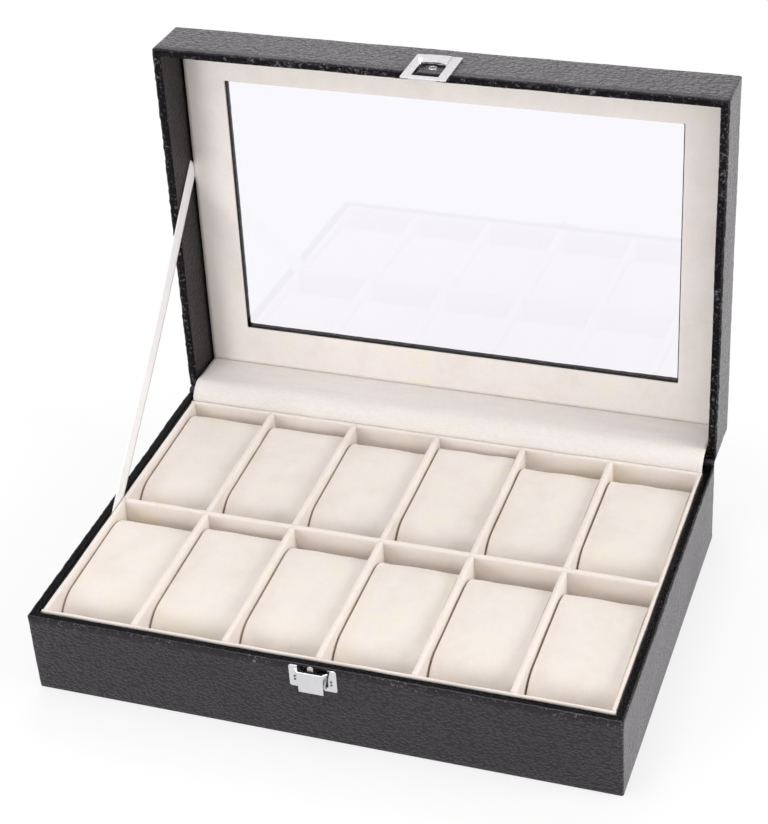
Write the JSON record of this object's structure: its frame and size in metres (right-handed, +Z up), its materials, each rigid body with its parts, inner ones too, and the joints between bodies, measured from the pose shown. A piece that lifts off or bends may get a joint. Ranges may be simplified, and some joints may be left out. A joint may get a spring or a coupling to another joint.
{
  "type": "watch display box",
  "caption": "Hinged-lid wristwatch display box with a glazed lid, a divided velvet tray, lift-out pillows, a ribbon stay and a sprung front catch",
  "frame": {"origin": "centre of the underside of the base, on the flat face that it rests on", "axes": "+X to the right along the length of the box, +Y to the back, where the lid is hinged, +Z up"},
  "size_m": [0.3, 0.2481, 0.2543],
  "materials": {
    "black_leather": "grained artificial leather, semi-gloss",
    "underside_sheet": "black flocked sheet",
    "satin_ribbon": "white satin",
    "glass": "clear, polished",
    "beige_velvet": "short-pile velvet",
    "beige_pillow": "short-pile velvet",
    "bright_chrome": "polished plating",
    "steel_fixings": "darkened steel",
    "carcass_board": "raw fibreboard"
  },
  "bodies": {
    "base": {"base_back_wall": "carcass_board", "base_bottom_board": "carcass_board", "base_front_wall": "carcass_board", "base_leather_cover": "black_leather", "base_left_wall": "carcass_board", "base_right_wall": "carcass_board", "base_underside_sheet": "underside_sheet", "catch_nails": "steel_fixings", "catch_pivot_pin": "steel_fixings", "catch_plate": "bright_chrome", "catch_spring": "steel_fixings", "hinge_flap": "beige_velvet", "hinge_spine": "black_leather", "stay_ribbon": "satin_ribbon", "tray_back_liner": "beige_velvet", "tray_cross_divider_1": "beige_velvet", "tray_cross_divider_2": "beige_velvet", "tray_cross_divider_3": "beige_velvet", "tray_cross_divider_4": "beige_velvet", "tray_cross_divider_5": "beige_velvet", "tray_floor_lining": "beige_velvet", "tray_front_liner": "beige_velvet", "tray_left_liner": "beige_velvet", "tray_long_divider": "beige_velvet", "tray_right_liner": "beige_velvet"},
    "lid": {"lid_back_wall": "carcass_board", "lid_front_wall": "carcass_board", "lid_glass": "glass", "lid_leather_cover": "black_leather", "lid_left_wall": "carcass_board", "lid_right_wall": "carcass_board", "lid_top_panel": "carcass_board", "lid_velvet_frame": "beige_velvet", "strike_plate": "bright_chrome", "strike_rivet": "steel_fixings"},
    "catch": {"catch_cover": "bright_chrome", "catch_hook": "bright_chrome"},
    "pillow_back_1": {"pillow_back_1": "beige_pillow"},
    "pillow_back_2": {"pillow_back_2": "beige_pillow"},
    "pillow_back_3": {"pillow_back_3": "beige_pillow"},
    "pillow_back_4": {"pillow_back_4": "beige_pillow"},
    "pillow_back_5": {"pillow_back_5": "beige_pillow"},
    "pillow_back_6": {"pillow_back_6": "beige_pillow"},
    "pillow_front_1": {"pillow_front_1": "beige_pillow"},
    "pillow_front_2": {"pillow_front_2": "beige_pillow"},
    "pillow_front_3": {"pillow_front_3": "beige_pillow"},
    "pillow_front_4": {"pillow_front_4": "beige_pillow"},
    "pillow_front_5": {"pillow_front_5": "beige_pillow"},
    "pillow_front_6": {"pillow_front_6": "beige_pillow"}
  },
  "joints": [
    {"name": "lid_hinge", "type": "hinge", "parent": "base", "child": "lid", "pos_m": [0, 0.1043, 0.04615], "axis": [-1, 0, 0], "range_deg": [-92, 0], "deforming": ["hinge_spine", "hinge_flap", "stay_ribbon"]},
    {"name": "catch_tilt", "type": "hinge", "parent": "base", "child": "catch", "pos_m": [0, -0.1044, 0.0344], "axis": [1, 0, 0], "range_deg": [0, 15], "stiffness_Nm_per_rad": 0.02, "springref_deg": -20.05},
    {"name": "pillow_back_1_lift", "type": "slide", "parent": "base", "child": "pillow_back_1", "axis": [0, 0, 1], "range_m": [0, 0.06]},
    {"name": "pillow_back_2_lift", "type": "slide", "parent": "base", "child": "pillow_back_2", "axis": [0, 0, 1], "range_m": [0, 0.06]},
    {"name": "pillow_back_3_lift", "type": "slide", "parent": "base", "child": "pillow_back_3", "axis": [0, 0, 1], "range_m": [0, 0.06]},
    {"name": "pillow_back_4_lift", "type": "slide", "parent": "base", "child": "pillow_back_4", "axis": [0, 0, 1], "range_m": [0, 0.06]},
    {"name": "pillow_back_5_lift", "type": "slide", "parent": "base", "child": "pillow_back_5", "axis": [0, 0, 1], "range_m": [0, 0.06]},
    {"name": "pillow_back_6_lift", "type": "slide", "parent": "base", "child": "pillow_back_6", "axis": [0, 0, 1], "range_m": [0, 0.06]},
    {"name": "pillow_front_1_lift", "type": "slide", "parent": "base", "child": "pillow_front_1", "axis": [0, 0, 1], "range_m": [0, 0.06]},
    {"name": "pillow_front_2_lift", "type": "slide", "parent": "base", "child": "pillow_front_2", "axis": [0, 0, 1], "range_m": [0, 0.06]},
    {"name": "pillow_front_3_lift", "type": "slide", "parent": "base", "child": "pillow_front_3", "axis": [0, 0, 1], "range_m": [0, 0.06]},
    {"name": "pillow_front_4_lift", "type": "slide", "parent": "base", "child": "pillow_front_4", "axis": [0, 0, 1], "range_m": [0, 0.06]},
    {"name": "pillow_front_5_lift", "type": "slide", "parent": "base", "child": "pillow_front_5", "axis": [0, 0, 1], "range_m": [0, 0.06]},
    {"name": "pillow_front_6_lift", "type": "slide", "parent": "base", "child": "pillow_front_6", "axis": [0, 0, 1], "range_m": [0, 0.06]}
  ]
}
